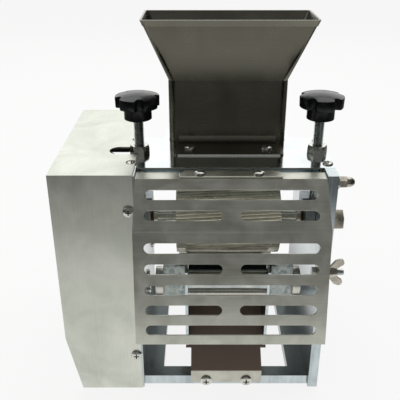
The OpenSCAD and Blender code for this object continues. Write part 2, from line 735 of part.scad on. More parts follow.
// places of the slot rows: the lowest above the bend, and the lowest under it
bend_row = 15;
top_row = 96;
flange_top = flange_z + guard_t;
upper_run = [bend_reach, flange_top - bend_z];
lower_run = [hem_reach - bend_reach, bend_z - hem_z];
upper_lean = atan2(upper_run[0], upper_run[1]);
lower_lean = atan2(lower_run[0], lower_run[1]);
lower_len = norm(lower_run);
// inward normals of the flange and the two panels, and the inner corner between two of them
function inward(run) = [run[1], -run[0]] / norm(run);
function inner_corner(p, a, b) = p + guard_t * (a + b) / (1 + a * b);
guard_corners = [[0, flange_top], [-bend_reach, bend_z], [-hem_reach, hem_z]];
function sheet_outline() = let (up = inward(upper_run), low = inward(lower_run)) concat(
    [[flange_back, flange_top]], guard_corners,
    [guard_corners[2] + guard_t * low, inner_corner(guard_corners[1], up, low),
     inner_corner(guard_corners[0], [0, -1], up), [flange_back, flange_z]]);
function wing_outline() = concat(guard_corners,
    [[-hem_reach + 10, hem_z], [stud_y + 7, stud_z - 9], [stud_y + 7, stud_z + 7], [-1, stud_z + 30],
     [-1, hinge_z - 12], [flange_back - 1, hinge_z - 6], [flange_back - 1, flange_top]]);
module guard() {
    color("#9b9c96") difference() {
        union() {
            along_x(-wing_out, wing_out) polygon(sheet_outline());
            for (s = [-1, 1]) along_x(s * wing_out, s * (wing_out - guard_t)) polygon(wing_outline());
        }
        panel_slots(-bend_reach, bend_z, upper_lean, bend_row, 2, 1);
        panel_slots(-hem_reach, hem_z, lower_lean, lower_len - top_row, 5, 0);
        for (s = [-1, 1]) x_rod(s * (wing_out + 1), s * (wing_out - 3), [hinge_y, hinge_z], stud_r + fit);
        x_rod(wing_out + 1, wing_out - 3, [stud_y, stud_z], stud_r + fit);
        for (x = clamp_screw_x()) translate([x, clamp_screw_y, flange_z - 1]) cylinder(h = 5, r = 2.5 + fit);
    }
}
function clamp_screw_x() = [-28, 25.5];
clamp_screw_y = 6.5;
module hinge_bar() {
    half = wing_out - guard_t - 0.1;
    color("#a5aaa9") difference() {
        along_x(-half, half) translate([hinge_y - 6, hinge_z - hinge_w / 2]) square([12, hinge_w]);
        for (s = [-1, 1]) x_rod(s * (half - 14), s * (half + 1), [hinge_y, hinge_z], stud_r + fit);
        for (x = clamp_screw_x()) translate([x, clamp_screw_y, flange_z - 8]) cylinder(h = 9, r = 2.5 + fit);
    }
}
module clamp_strip() {
    color("#8d8c85") translate([0, 0, flange_z + guard_t]) difference() {
        linear_extrude(strip_t) polygon([[strip_cut - strip_half, flange_back],
            [strip_half - strip_cut, flange_back], [strip_half, flange_back - strip_cut - 2],
            [strip_half, strip_front], [-strip_half, strip_front],
            [-strip_half, flange_back - strip_cut - 2]]);
        for (x = clamp_screw_x()) translate([x, clamp_screw_y, -1]) cylinder(h = strip_t + 2, r = 2.5 + fit);
    }
}
module clamp_screws() {
    color("#c9c9c4") for (x = clamp_screw_x())
        translate([x, clamp_screw_y, flange_z + guard_t + strip_t]) pan_screw(pan_r, 3.4, 2.5, 11);
}
module hinge_pins() {
    color("#b5b9b8") {
        x_rod(cheek_in - 13, cheek_out + washer_t + acorn_hex, [hinge_y, hinge_z], stud_r);
        x_rod(-cheek_in + 13, -cheek_out - 2, [hinge_y, hinge_z], stud_r);
        difference() {
            x_rod(cheek_out, cheek_out + washer_t, [hinge_y, hinge_z], 6.2);
            x_rod(cheek_out - 1, cheek_out + 3, [hinge_y, hinge_z], stud_r - 0.1);
        }
        x_rod(-cheek_out, -cheek_out - 3, [hinge_y, hinge_z], 5);
    }
}
module acorn_nut() {
    x0 = cheek_out + washer_t;
    color("#c4bfb0") difference() {
        union() {
            translate([x0, hinge_y, hinge_z]) rotate([0, 90, 0]) hex_prism(10, acorn_hex);
            translate([x0, hinge_y, hinge_z]) rotate([0, 90, 0]) rotate_extrude()
                polygon([[0, 1], [4.7, 1], [4.7, acorn_hex + 3], [3.9, acorn_len - 2.6],
                    [2.3, acorn_len - 0.7], [0, acorn_len]]);
        }
        x_rod(x0 - 1, x0 + acorn_hex + 0.1, [hinge_y, hinge_z], stud_r + fit);
    }
}
module guard_stud() {
    color("#b5b9b8") {
        x_rod(wing_out - guard_t - 4, cheek_out + 15, [stud_y, stud_z], stud_r);
        translate([wing_out - guard_t - 4.2, stud_y, stud_z]) rotate([0, 90, 0]) hex_prism(10, 4);
    }
}
module wing_nut() {
    color("#c2bcab") translate([cheek_out + slip, stud_y, stud_z]) rotate([0, 90, 0]) difference() {
        union() {
            cylinder(h = 8, r1 = 6, r2 = 4.8);
            for (s = [-1, 1]) rotate(s * 90 + 90) rotate([90, 0, 0]) translate([0, 0, -1.4])
                linear_extrude(2.8) {
                    polygon([[3, 0.8], [6, 0.8], [13.5, 6.5], [14.5, 12], [11, 14.5], [7.5, 12], [4, 7.5],
                        [3, 7.5]]);
                    translate([11, 11]) circle(3.6);
                }
        }
        translate([0, 0, -1]) cylinder(h = 12, r = stud_r + fit);
    }
}
module stop_bolt() {
    color("#c8c3b5") {
        x_rod(cheek_in, cheek_out + 0.1, [stop_bolt_y, stop_bolt_z], stop_bolt_d / 2);
        translate([cheek_out, stop_bolt_y, stop_bolt_z]) rotate([0, 90, 0]) intersection() {
            hex_prism(18, 9.5);
            cylinder(h = 9.5, r1 = 11.5, r2 = 10);
        }
    }
}

// ---- scraper and chute ----
module scraper_bar() {
    color("#b9bdbd") {
        x_rod(-cheek_in + 0.05, cheek_in - 0.05, [bar_y, bar_z], bar_d / 2);
        // reduced ends through the cheeks, with a head on each
        for (s = [-1, 1]) {
            x_rod(s * (cheek_in - 1), s * (cheek_out + 0.1), [bar_y, bar_z], bar_d / 2 - 3);
            x_rod(s * cheek_out, s * (cheek_out + 3), [bar_y, bar_z], bar_d / 2 - 1);
        }
    }
}
collar_r = 15;
collar_x = 65;
collar_w = 8;
scraper_block_h = 44;
scraper_block_t = 16;
module scraper_collars() {
    color("#bdb7a8") for (s = [-1, 1]) difference() {
        x_rod(s * collar_x, s * (collar_x + collar_w), [bar_y, bar_z], collar_r);
        x_rod(-cheek_in, cheek_in, [bar_y, bar_z], bar_d / 2 + press);
    }
}
module scraper_blocks() {
    color("#8f9da2") for (s = [-1, 1]) difference() {
        along_x(s * (chute_wall + chute_wall_t), s * collar_x)
            translate([bar_y - scraper_block_t / 2, bar_z - scraper_block_h / 2])
                square([scraper_block_t, scraper_block_h]);
        x_rod(-cheek_in, cheek_in, [bar_y, bar_z], bar_d / 2 + press);
    }
}
// the blade leans from the bar to just short of the front roller
blade_t = 2;
tip_dir = [-0.62, -0.785];
blade_tip = front_at - [0, lift_down] + (roller_d / 2 + 0.8) * tip_dir;
module scraper_blade() {
    half = chute_w / 2 - slip;
    root = [bar_y, bar_z] + [2, bar_d / 2 + 1];
    lean = atan2(blade_tip[1] - root[1], blade_tip[0] - root[0]);
    len = norm(blade_tip - root);
    color("#2b2d2e") difference() {
        along_x(-half, half) {
            translate(root) rotate(lean) translate([-3, -blade_t / 2]) square([len + 2, blade_t]);
            translate([bar_y, bar_z]) circle(bar_d / 2 + 3);
        }
        x_rod(-cheek_in, cheek_in, [bar_y, bar_z], bar_d / 2 + press);
    }
}
chute_dir = [cos(chute_slope), sin(chute_slope)];
chute_end = [lip_y, lip_z] + chute_len * chute_dir;
// the side plates stand on the sheet from here up
plate_start = 27;
plate_foot = [lip_y, lip_z + 0.3] + plate_start * chute_dir;
module chute_plates() {
    color("#a7adab") for (s = [-1, 1]) difference() {
        along_x(s * chute_wall, s * (chute_wall + chute_wall_t)) difference() {
            polygon([plate_foot, [bar_y - 8, bar_z + 14], [bar_y + 10, bar_z + 14],
                [front_axis_y + 10, bar_z - 2], chute_end + [0, 10], chute_end + [0, 0.3]]);
            translate(rear_at) circle(roller_d / 2 + 2);
            translate(front_at) circle(roller_d / 2 + lift_down + 1);
        }
        x_rod(-cheek_in, cheek_in, [bar_y, bar_z], bar_d / 2 + press);
        x_rod(-cheek_in, cheek_in, rod_at, rod_r + press);
    }
}
rod_r = 4;
rod_at = [bar_y + 2, bar_z - 15];
module chute_rod() {
    color("#d0d4d4") x_rod(-chute_wall - chute_wall_t + 0.1, chute_wall + chute_wall_t - 0.1, rod_at, rod_r);
}
function chute_screw_x() = [-21.5, 21.5];
// the lip's screw heads stay clear of the floor
function lip_screw_z() = base_t / 2 + 1;
module chute_sheet() {
    color("#5b4a42") difference() {
        union() {
            translate([-lip_w / 2, lip_y, 4]) cube([lip_w, chute_t, lip_z - 4 - 0.6]);
            along_x(-chute_w / 2 - chute_wall_t, chute_w / 2 + chute_wall_t) translate([lip_y, lip_z])
                rotate(chute_slope) translate([plate_start - 2, -chute_t])
                    square([chute_len - plate_start + 2, chute_t]);
            along_x(-lip_w / 2, lip_w / 2) translate([lip_y, lip_z])
                rotate(chute_slope) translate([0, -chute_t]) square([plate_start, chute_t]);
            // bend
            along_x(-lip_w / 2, lip_w / 2) translate([lip_y + chute_t, lip_z - chute_t + 0.8])
                circle(chute_t);
        }
        for (x = chute_screw_x()) translate([x, lip_y - 1, lip_screw_z()])
            rotate([-90, 0, 0]) cylinder(h = 5, r = 2.5 + fit);
    }
}
module chute_screws() {
    color("#c9c9c4") for (x = chute_screw_x())
        translate([x, lip_y, lip_screw_z()]) rotate([90, 0, 0]) pan_screw(6.2, 3.4, 2.5, 12);
}

place() left_cheek();
place() right_cheek();
place() base_plate();
place() base_screws();
place() top_plate();
place() top_plate_screws();
place() hopper();
place() hopper_screws();
place() left_block();
place() right_block();
place() block_bushes();
place() front_roller();
place() front_shaft();
place() left_screw();
place() right_screw();
place() left_knob();
place() right_knob();
place() lock_nuts();
place() rear_roller();
place() rear_shaft();
place() bearing_housings();
place() housing_screws();
place() roller_gear();
place() pinion();
place() gearbox();
place() gearbox_bolts();
place() motor();
place() motor_cap();
place() casing();
place() casing_panel();
place() casing_screws();
place() mains_inlet();
place() switch_frame();
place() switch_rocker();
place() guard();
place() hinge_bar();
place() clamp_strip();
place() clamp_screws();
place() hinge_pins();
place() acorn_nut();
place() guard_stud();
place() wing_nut();
place() stop_bolt();
place() scraper_bar();
place() scraper_collars();
place() scraper_blocks();
place() scraper_blade();
place() chute_plates();
place() chute_sheet();
place() chute_screws();
place() chute_rod();
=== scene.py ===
import json
import math

import bmesh
import bpy
from mathutils import Matrix, Vector

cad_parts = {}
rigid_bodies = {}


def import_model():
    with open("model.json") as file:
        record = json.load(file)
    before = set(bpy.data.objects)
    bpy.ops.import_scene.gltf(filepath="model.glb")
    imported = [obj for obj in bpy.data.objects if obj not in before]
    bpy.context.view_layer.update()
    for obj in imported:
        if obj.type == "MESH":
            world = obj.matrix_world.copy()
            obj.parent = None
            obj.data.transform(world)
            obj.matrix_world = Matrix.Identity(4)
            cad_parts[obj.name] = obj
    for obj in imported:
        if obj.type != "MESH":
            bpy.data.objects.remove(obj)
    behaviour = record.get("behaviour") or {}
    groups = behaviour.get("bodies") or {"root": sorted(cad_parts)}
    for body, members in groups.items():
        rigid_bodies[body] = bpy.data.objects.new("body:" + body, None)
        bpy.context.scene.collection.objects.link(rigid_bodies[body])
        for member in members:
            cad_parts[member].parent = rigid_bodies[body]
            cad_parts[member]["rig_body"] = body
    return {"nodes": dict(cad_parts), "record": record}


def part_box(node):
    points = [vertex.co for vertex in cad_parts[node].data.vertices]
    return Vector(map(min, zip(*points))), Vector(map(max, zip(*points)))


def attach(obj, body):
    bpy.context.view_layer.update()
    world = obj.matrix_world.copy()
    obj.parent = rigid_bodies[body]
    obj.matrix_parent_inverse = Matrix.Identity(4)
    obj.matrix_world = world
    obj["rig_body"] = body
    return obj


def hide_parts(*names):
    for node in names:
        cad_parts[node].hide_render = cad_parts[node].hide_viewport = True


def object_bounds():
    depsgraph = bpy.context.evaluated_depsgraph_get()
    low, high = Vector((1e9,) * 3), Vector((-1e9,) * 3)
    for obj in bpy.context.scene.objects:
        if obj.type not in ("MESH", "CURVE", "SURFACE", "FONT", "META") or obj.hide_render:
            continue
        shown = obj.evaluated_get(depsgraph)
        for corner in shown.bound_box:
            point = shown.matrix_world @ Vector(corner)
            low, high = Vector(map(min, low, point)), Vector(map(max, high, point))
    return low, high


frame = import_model()
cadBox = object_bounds()
nodes = frame["nodes"]
slotOf = {part["node"]: part["material_slot"] for part in frame["record"]["subparts"]}
mm = 0.001
print("frame loaded:", len(nodes), "nodes")


def hexColour(code):
    channels = [int(code[i:i + 2], 16) / 255 for i in (0, 2, 4)]
    return tuple(c / 12.92 if c <= 0.04045 else ((c + 0.055) / 1.055) ** 2.4 for c in channels) + (1.0,)


def addNode(tree, kind, settings=None, values=None, links=None):
    node = tree.nodes.new("ShaderNode" + kind)
    for name, value in (settings or {}).items():
        setattr(node, name, value)
    for socket, value in (values or {}).items():
        node.inputs[socket].default_value = value
    for socket, source in (links or {}).items():
        tree.links.new(source, node.inputs[socket])
    return node


def startMaterial(name, metallic, roughness):
    material = bpy.data.materials.new(name)
    material.use_nodes = True
    tree = material.node_tree
    shader = tree.nodes["Principled BSDF"]
    shader.inputs["Metallic"].default_value = metallic
    shader.inputs["Roughness"].default_value = roughness
    place = addNode(tree, "TexCoord").outputs["Object"]
    return material, tree, shader, place


def stretched(tree, place, spacing):
    # spacing is the size of one grain in mm along x, y and z
    scale = tuple(1 / (s * mm) for s in spacing)
    return addNode(tree, "Mapping", values={"Scale": scale}, links={"Vector": place}).outputs["Vector"]


def colourFrom(tree, shader, pattern, look, span):
    # dark where the pattern is low and light where it is high; span is the stretch over which it changes
    shades = addNode(tree, "ValToRGB", links={"Fac": pattern})
    for stop, share, tone in zip(shades.color_ramp.elements, span, (look["dark"], look["light"])):
        stop.position = share
        stop.color = hexColour(tone)
    tree.links.new(shades.outputs["Color"], shader.inputs["Base Color"])


# what all the metals share: a fine grain over soft clouds, and how far each pattern reaches
metalPattern = dict(grainDetail=3.0, grainRoughness=0.6, cloudDetail=5.0, cloudRoughness=0.55, cloudTwist=0.6,
                    colourSpan=(0.34, 0.66), roughSpan=(0.3, 0.7), bumpHeight=0.1)


def finishMetal(name, look):
    material, tree, shader, place = startMaterial(name, 1.0, look["roughness"])
    grain = addNode(tree, "TexNoise",
                    values={"Scale": 1.0, "Detail": metalPattern["grainDetail"],
                            "Roughness": metalPattern["grainRoughness"]},
                    links={"Vector": stretched(tree, place, look["grain"])}).outputs["Fac"]
    clouds = addNode(tree, "TexNoise",
                     values={"Scale": 1.0, "Detail": metalPattern["cloudDetail"],
                             "Roughness": metalPattern["cloudRoughness"],
                             "Distortion": metalPattern["cloudTwist"]},
                     links={"Vector": stretched(tree, place, [look["clouds"]] * 3)}).outputs["Fac"]
    both = addNode(tree, "Mix", {"data_type": "FLOAT"}, {"Factor": look["cloudShare"]},
                   {"A": grain, "B": clouds}).outputs["Result"]
    start, end = metalPattern["roughSpan"]
    least, most = look["roughness"] - look["roughSpread"], look["roughness"] + look["roughSpread"]
    rough = addNode(tree, "MapRange",
                    values={"From Min": start, "From Max": end, "To Min": least, "To Max": most},
                    links={"Value": both}).outputs["Result"]
    depth = metalPattern["bumpHeight"] * mm
    bump = addNode(tree, "Bump", values={"Strength": look["bump"], "Distance": depth},
                   links={"Height": grain}).outputs["Normal"]
    colourFrom(tree, shader, both, look, metalPattern["colourSpan"])
    tree.links.new(rough, shader.inputs["Roughness"])
    tree.links.new(bump, shader.inputs["Normal"])
    return material


# grain and clouds are in mm; a grain finer than 0.6 mm would not show, so it is drawn that coarse
metalLooks = {
    # cold-rolled plate, face ground: pale, slightly blue, with faint lines up the plate
    "steel_plate": dict(dark="A3ADB0", light="CDD5D6", grain=(5, 0.9, 60), clouds=34, cloudShare=0.6,
                        roughness=0.20, roughSpread=0.08, bump=0.06),
    # the same plate buffed to a near mirror
    "polished_plate": dict(dark="C3C9C9", light="DDE1E0", grain=(40, 0.8, 8), clouds=40, cloudShare=0.7,
                           roughness=0.10, roughSpread=0.04, bump=0.02),
    # stainless sheet, satin polished: dark and warm where it mirrors a dim room, grain round the hopper
    "hopper_sheet": dict(dark="6F6C61", light="828073", grain=(70, 30, 1.0), clouds=45, cloudShare=0.74,
                         roughness=0.26, roughSpread=0.05, bump=0.05),
    # milled and cold-blacked block
    "block_steel": dict(dark="70767A", light="9AA1A3", grain=(1.2, 9, 9), clouds=9, cloudShare=0.5,
                        roughness=0.36, roughSpread=0.08, bump=0.12),
    # oil-soaked sintered bronze
    "bronze": dict(dark="4C3C28", light="6E5736", grain=(0.7, 14, 14), clouds=12, cloudShare=0.5,
                   roughness=0.30, roughSpread=0.07, bump=0.10),
    # machined roller, a warm film of meal on the flutes
    "roller_steel": dict(dark="B9B5A4", light="E4E0CE", grain=(50, 1.4, 1.4), clouds=16, cloudShare=0.7,
                         roughness=0.20, roughSpread=0.06, bump=0.03),
    # ground and polished bar
    "ground_steel": dict(dark="A9A89F", light="D2D1C8", grain=(0.7, 20, 20), clouds=18, cloudShare=0.5,
                         roughness=0.30, roughSpread=0.05, bump=0.05),
    # zinc-plated studding: cool grey with a faint bloom
    "zinc_rod": dict(dark="9EA4A2", light="CBCFCB", grain=(3, 3, 3), clouds=8, cloudShare=0.6,
                     roughness=0.28, roughSpread=0.07, bump=0.05),
    # bright zinc screw heads
    "zinc_screw": dict(dark="B3B3AB", light="D9D8D0", grain=(2, 2, 2), clouds=5, cloudShare=0.6,
                       roughness=0.22, roughSpread=0.06, bump=0.05),
    # hobbed gear steel under a film of oil
    "gear_steel": dict(dark="6F716E", light="A0A29E", grain=(0.8, 12, 12), clouds=14, cloudShare=0.6,
                       roughness=0.30, roughSpread=0.08, bump=0.08),
    # stainless sheet, finely brushed up and down: pale grey-green, broad soft shine, cloudy with handling
    "casing_sheet": dict(dark="BABDB1", light="D8DAD0", grain=(1.3, 24, 60), clouds=42, cloudShare=0.80,
                         roughness=0.38, roughSpread=0.06, bump=0.06),
    # stainless sheet, brushed along the slots, with handling marks
    "guard_sheet": dict(dark="C9CABC", light="E6E7DB", grain=(80, 6, 1.3), clouds=24, cloudShare=0.74,
                        roughness=0.34, roughSpread=0.06, bump=0.05),
    # nickel plate over brass: warm and shiny
    "nickel_nut": dict(dark="9C9789", light="C6C1B4", grain=(3, 3, 3), clouds=6, cloudShare=0.6,
                       roughness=0.30, roughSpread=0.05, bump=0.04),
    # hardened and tempered strip, as rolled
    "chute_steel": dict(dark="A5A396", light="C6C5B9", grain=(14, 60, 60), clouds=22, cloudShare=0.6,
                        roughness=0.34, roughSpread=0.07, bump=0.05),
}


# hot-dip zinc: flat crystals about 3 mm across, each a slightly different grey; sizes in mm
zincCoat = dict(dark="7C8583", light="BAC1BD", roughness=0.42, crystal=3.4, speck=1.6, speckDetail=4.0,
                speckShare=0.35, colourSpan=(0.25, 0.75), smoothest=0.32, roughest=0.55)


def galvanisedSteel():
    material, tree, shader, place = startMaterial("galvanisedSteel", 1.0, zincCoat["roughness"])
    crystals = addNode(tree, "TexVoronoi", values={"Scale": 1.0, "Randomness": 1.0},
                       links={"Vector": stretched(tree, place, [zincCoat["crystal"]] * 3)})
    shade = addNode(tree, "RGBToBW", links={"Color": crystals.outputs["Color"]}).outputs["Val"]
    specks = addNode(tree, "TexNoise", values={"Scale": 1.0, "Detail": zincCoat["speckDetail"]},
                     links={"Vector": stretched(tree, place, [zincCoat["speck"]] * 3)}).outputs["Fac"]
    both = addNode(tree, "Mix", {"data_type": "FLOAT"}, {"Factor": zincCoat["speckShare"]},
                   {"A": shade, "B": specks}).outputs["Result"]
    rough = addNode(tree, "MapRange",
                    values={"To Min": zincCoat["smoothest"], "To Max": zincCoat["roughest"]},
                    links={"Value": both}).outputs["Result"]
    colourFrom(tree, shader, both, zincCoat, zincCoat["colourSpan"])
    tree.links.new(rough, shader.inputs["Roughness"])
    return material


# sand-cast housing: pale, dull, with a skin of 1 mm pits
castSkin = dict(dark="8E918F", light="B4B7B5", roughness=0.52, pit=1, pitDetail=4.0, pitRoughness=0.7,
                colourSpan=(0.3, 0.65), bump=0.35, bumpHeight=0.3)


def castAluminium():
    material, tree, shader, place = startMaterial("castAluminium", 1.0, castSkin["roughness"])
    pits = addNode(tree, "TexNoise",
                   values={"Scale": 1.0, "Detail": castSkin["pitDetail"],
                           "Roughness": castSkin["pitRoughness"]},
                   links={"Vector": stretched(tree, place, [castSkin["pit"]] * 3)}).outputs["Fac"]
    bump = addNode(tree, "Bump",
                   values={"Strength": castSkin["bump"], "Distance": castSkin["bumpHeight"] * mm},
                   links={"Height": pits})
    colourFrom(tree, shader, pits, castSkin, castSkin["colourSpan"])
    tree.links.new(bump.outputs["Normal"], shader.inputs["Normal"])
    return material


# sprayed enamel: dark blue-grey with a fine orange peel
enamel = dict(dark="434B50", light="596267", roughness=0.38, peel=1.5, peelDetail=2.0, dust=18,
              dustDetail=5.0, colourSpan=(0.35, 0.7), bump=0.2, bumpHeight=0.15)


def motorPaint():
    material, tree, shader, place = startMaterial("motorEnamel", 0.0, enamel["roughness"])
    peel = addNode(tree, "TexNoise", values={"Scale": 1.0, "Detail": enamel["peelDetail"]},
                   links={"Vector": stretched(tree, place, [enamel["peel"]] * 3)}).outputs["Fac"]
    dust = addNode(tree, "TexNoise", values={"Scale": 1.0, "Detail": enamel["dustDetail"]},
                   links={"Vector": stretched(tree, place, [enamel["dust"]] * 3)}).outputs["Fac"]
    bump = addNode(tree, "Bump",
                   values={"Strength": enamel["bump"], "Distance": enamel["bumpHeight"] * mm},
                   links={"Height": peel})
    colourFrom(tree, shader, dust, enamel, enamel["colourSpan"])
    tree.links.new(bump.outputs["Normal"], shader.inputs["Normal"])
    return material


# compression-moulded phenolic: black, glossy, with faint flow marks and thumb smears; its index is set below
# the usual 1.6, so that the crown mirrors the overhead light only faintly
phenolic = dict(dark="070808", light="121415", roughness=0.20, index=1.36, smear=9, smearDetail=4.0,
                smearTwist=0.8, smearSpan=(0.35, 0.7), colourSpan=(0.0, 1.0), smoothest=0.13, roughest=0.27,
                bump=0.06, bumpHeight=0.2)


def blackPhenolic():
    material, tree, shader, place = startMaterial("blackPhenolic", 0.0, phenolic["roughness"])
    shader.inputs["IOR"].default_value = phenolic["index"]
    smears = addNode(tree, "TexNoise",
                     values={"Scale": 1.0, "Detail": phenolic["smearDetail"],
                             "Distortion": phenolic["smearTwist"]},
                     links={"Vector": stretched(tree, place, [phenolic["smear"]] * 3)}).outputs["Fac"]
    start, end = phenolic["smearSpan"]
    rough = addNode(tree, "MapRange",
                    values={"From Min": start, "From Max": end, "To Min": phenolic["smoothest"],
                            "To Max": phenolic["roughest"]}, links={"Value": smears}).outputs["Result"]
    bump = addNode(tree, "Bump",
                   values={"Strength": phenolic["bump"], "Distance": phenolic["bumpHeight"] * mm},
                   links={"Height": smears})
    colourFrom(tree, shader, smears, phenolic, phenolic["colourSpan"])
    tree.links.new(rough, shader.inputs["Roughness"])
    tree.links.new(bump.outputs["Normal"], shader.inputs["Normal"])
    return material


# bright spring strip with a faint straw bloom; the bloom's size in mm along x, y and z
spring = dict(dark="A2A9A8", light="CFD0C8", roughness=0.26, bloom=(20, 12, 12), bloomDetail=3.0,
              colourSpan=(0.35, 0.7))


def brightSpring():
    material, tree, shader, place = startMaterial("brightSpringSteel", 1.0, spring["roughness"])
    bloom = addNode(tree, "TexNoise", values={"Scale": 1.0, "Detail": spring["bloomDetail"]},
                    links={"Vector": stretched(tree, place, spring["bloom"])}).outputs["Fac"]
    colourFrom(tree, shader, bloom, spring, spring["colourSpan"])
    return material


# films and painted light that lie on part of a metal: colour, how metallic it still is, heights and sizes in
# mm
filmsAndPaintedLight = {
    # painted reflection: brown on the chute's slope, above its lip, where the sheet mirrors dark brown
    # surroundings
    "meal": dict(colour="85746A", metallic=0.35, low=18.6, high=20.2),
    # the strip of the scraper above its hub, blued nearly black
    "blue": dict(colour="17191D", metallic=0.9, low=131, high=133),
    # pale dust of malt on the flutes, thicker in patches
    "dust": dict(colour="EFEAD6", metallic=0.0, patch=(22, 7, 7), detail=4.0, span=(0.3, 0.7),
                 thinnest=0.20, thickest=0.60),
    # painted shade low down between the cheeks, darker towards the base, not on the fronts
    "inside": dict(colour="2F3634", metallic=1.0, top=140, full=70, thickest=0.9, frontFrom=0.4, margin=0.3),
    # painted highlight: edges of sheet, as narrow as it is thick, are made pale and less metallic
    "burnish": dict(colour="DEDED6", metallic=0.55),
    # painted shade in the cross of a screw's head
    "recess": dict(colour="0B0B0A", metallic=0.2),
}


def layFilmOrPaintedLight(material, filmOrLight, cover):
    # cover is a socket that says how thick the film is, from 0 to 1
    tree = material.node_tree
    shader = tree.nodes["Principled BSDF"]
    bare = shader.inputs["Base Color"].links[0].from_socket
    # a Mix node set to colour has its factor at socket 0 and its two colours at 6 and 7
    both = addNode(tree, "Mix", {"data_type": "RGBA"}, {7: hexColour(filmsAndPaintedLight[filmOrLight]["colour"])},
                   {0: cover, 6: bare})
    sheen = addNode(tree, "MapRange", values={"To Min": 1.0, "To Max": filmsAndPaintedLight[filmOrLight]["metallic"]},
                    links={"Value": cover})
    tree.links.new(both.outputs[2], shader.inputs["Base Color"])
    tree.links.new(sheen.outputs["Result"], shader.inputs["Metallic"])


def placeOf(material):
    place = addNode(material.node_tree, "TexCoord").outputs["Object"]
    return addNode(material.node_tree, "SeparateXYZ", links={"Vector": place}).outputs


def layFilmOrPaintedLightAbove(material, filmOrLight):
    # covers all that lies above a height
    cover = addNode(material.node_tree, "MapRange",
                    values={"From Min": filmsAndPaintedLight[filmOrLight]["low"] * mm, "From Max": filmsAndPaintedLight[filmOrLight]["high"] * mm},
                    links={"Value": placeOf(material)["Z"]}).outputs["Result"]
    layFilmOrPaintedLight(material, filmOrLight, cover)


def wearDust(material):
    tree, dust = material.node_tree, filmsAndPaintedLight["dust"]
    place = addNode(tree, "TexCoord").outputs["Object"]
    patches = addNode(tree, "TexNoise", values={"Scale": 1.0, "Detail": dust["detail"]},
                      links={"Vector": stretched(tree, place, dust["patch"])}).outputs["Fac"]
    start, end = dust["span"]
    thick = addNode(tree, "MapRange",
                    values={"From Min": start, "From Max": end, "To Min": dust["thinnest"],
                            "To Max": dust["thickest"]}, links={"Value": patches}).outputs["Result"]
    layFilmOrPaintedLight(material, "dust", thick)


def paintShadeInside(material):
    # painted shade: faces between the cheeks darken lower down, except faces that look forward or back
    tree, inside = material.node_tree, filmsAndPaintedLight["inside"]
    place = placeOf(material)
    faces = addNode(tree, "NewGeometry").outputs["Normal"]
    forward = addNode(tree, "SeparateXYZ", links={"Vector": faces}).outputs["Y"]
    left, right = nodes["base_plate"].bound_box[0][0], nodes["base_plate"].bound_box[6][0]
    between = addNode(tree, "Math", {"operation": "COMPARE"},
                      {1: (left + right) / 2, 2: (right - left) / 2 + inside["margin"] * mm},
                      {0: place["X"]}).outputs[0]
    ahead = addNode(tree, "Math", {"operation": "ABSOLUTE"}, links={0: forward}).outputs[0]
    aside = addNode(tree, "Math", {"operation": "LESS_THAN"}, {1: inside["frontFrom"]}, {0: ahead}).outputs[0]
    low = addNode(tree, "MapRange",
                  values={"From Min": inside["top"] * mm, "From Max": inside["full"] * mm,
                          "To Max": inside["thickest"]}, links={"Value": place["Z"]}).outputs[0]
    both = addNode(tree, "Math", {"operation": "MULTIPLY"}, links={0: between, 1: aside}).outputs[0]
    cover = addNode(tree, "Math", {"operation": "MULTIPLY"}, links={0: both, 1: low}).outputs[0]
    layFilmOrPaintedLight(material, "inside", cover)


def paintMarkedLight(material, mark):
    # paints the shade or highlight that brokenEdges has marked under the film's own name
    cover = addNode(material.node_tree, "Attribute", {"attribute_name": mark}).outputs["Fac"]
    layFilmOrPaintedLight(material, mark, cover)


metalNames = {
    "steel_plate": "groundPlate", "polished_plate": "polishedPlate", "hopper_sheet": "satinStainless",
    "block_steel": "milledSteel", "bronze": "bearingBronze", "roller_steel": "machinedRoller",
    "ground_steel": "groundBar", "zinc_rod": "zincStudding", "zinc_screw": "brightZinc",
    "gear_steel": "oiledGearSteel", "casing_sheet": "brushedStainless", "guard_sheet": "guardStainless",
    "nickel_nut": "nickelPlate", "chute_steel": "temperedStrip",
}
finishes = {slot: finishMetal(metalNames[slot], look) for slot, look in metalLooks.items()}
finishes.update(galvanised=galvanisedSteel(), cast_aluminium=castAluminium(), motor_paint=motorPaint(),
                black_plastic=blackPhenolic(), spring_steel=brightSpring())
# painted reflection: the chute's slope is coloured brown
layFilmOrPaintedLightAbove(finishes["chute_steel"], "meal")
layFilmOrPaintedLightAbove(finishes["spring_steel"], "blue")
wearDust(finishes["roller_steel"])
# painted shade between the cheeks on the plate steel
paintShadeInside(finishes["steel_plate"])
# painted shade in the cross of each screw head
paintMarkedLight(finishes["zinc_screw"], "recess")
# painted highlight along the sheet edges of these finishes
for slot in ("hopper_sheet", "guard_sheet", "casing_sheet", "polished_plate"):
    paintMarkedLight(finishes[slot], "burnish")
for name, node in nodes.items():
    for place in node.material_slots:
        place.material = finishes[slotOf[name]]
print("materials:", len(finishes))


# what counts as a flat, as curving and as the edge of a sheet; sizes in mm, angles in degrees
faceRules = dict(flatArea=400, sheetEdge=1.7, least=0.3, curving=13)


def finishPiece(name, bm, standsFor, smoothAngle=faceRules["curving"]):
    # only faces that curve on into a neighbour are smooth, so flats and folds keep their own light
    widest, least = math.radians(smoothAngle), math.radians(faceRules["least"])
    for face in bm.faces:
        face.smooth = any(least < e.calc_face_angle(0) < widest for e in face.edges) and (
            face.calc_area() < faceRules["flatArea"] * mm * mm)
    mesh = bpy.data.meshes.new(name)
    bm.to_mesh(mesh)
    bm.free()
    mesh.set_sharp_from_angle(angle=widest)
    piece = bpy.data.objects.new(name, mesh)
    bpy.context.scene.collection.objects.link(piece)
    lead = standsFor[0]
    mesh.materials.append(finishes[slotOf[lead]])
    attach(piece, nodes[lead]["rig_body"])
    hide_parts(*standsFor)
    return piece


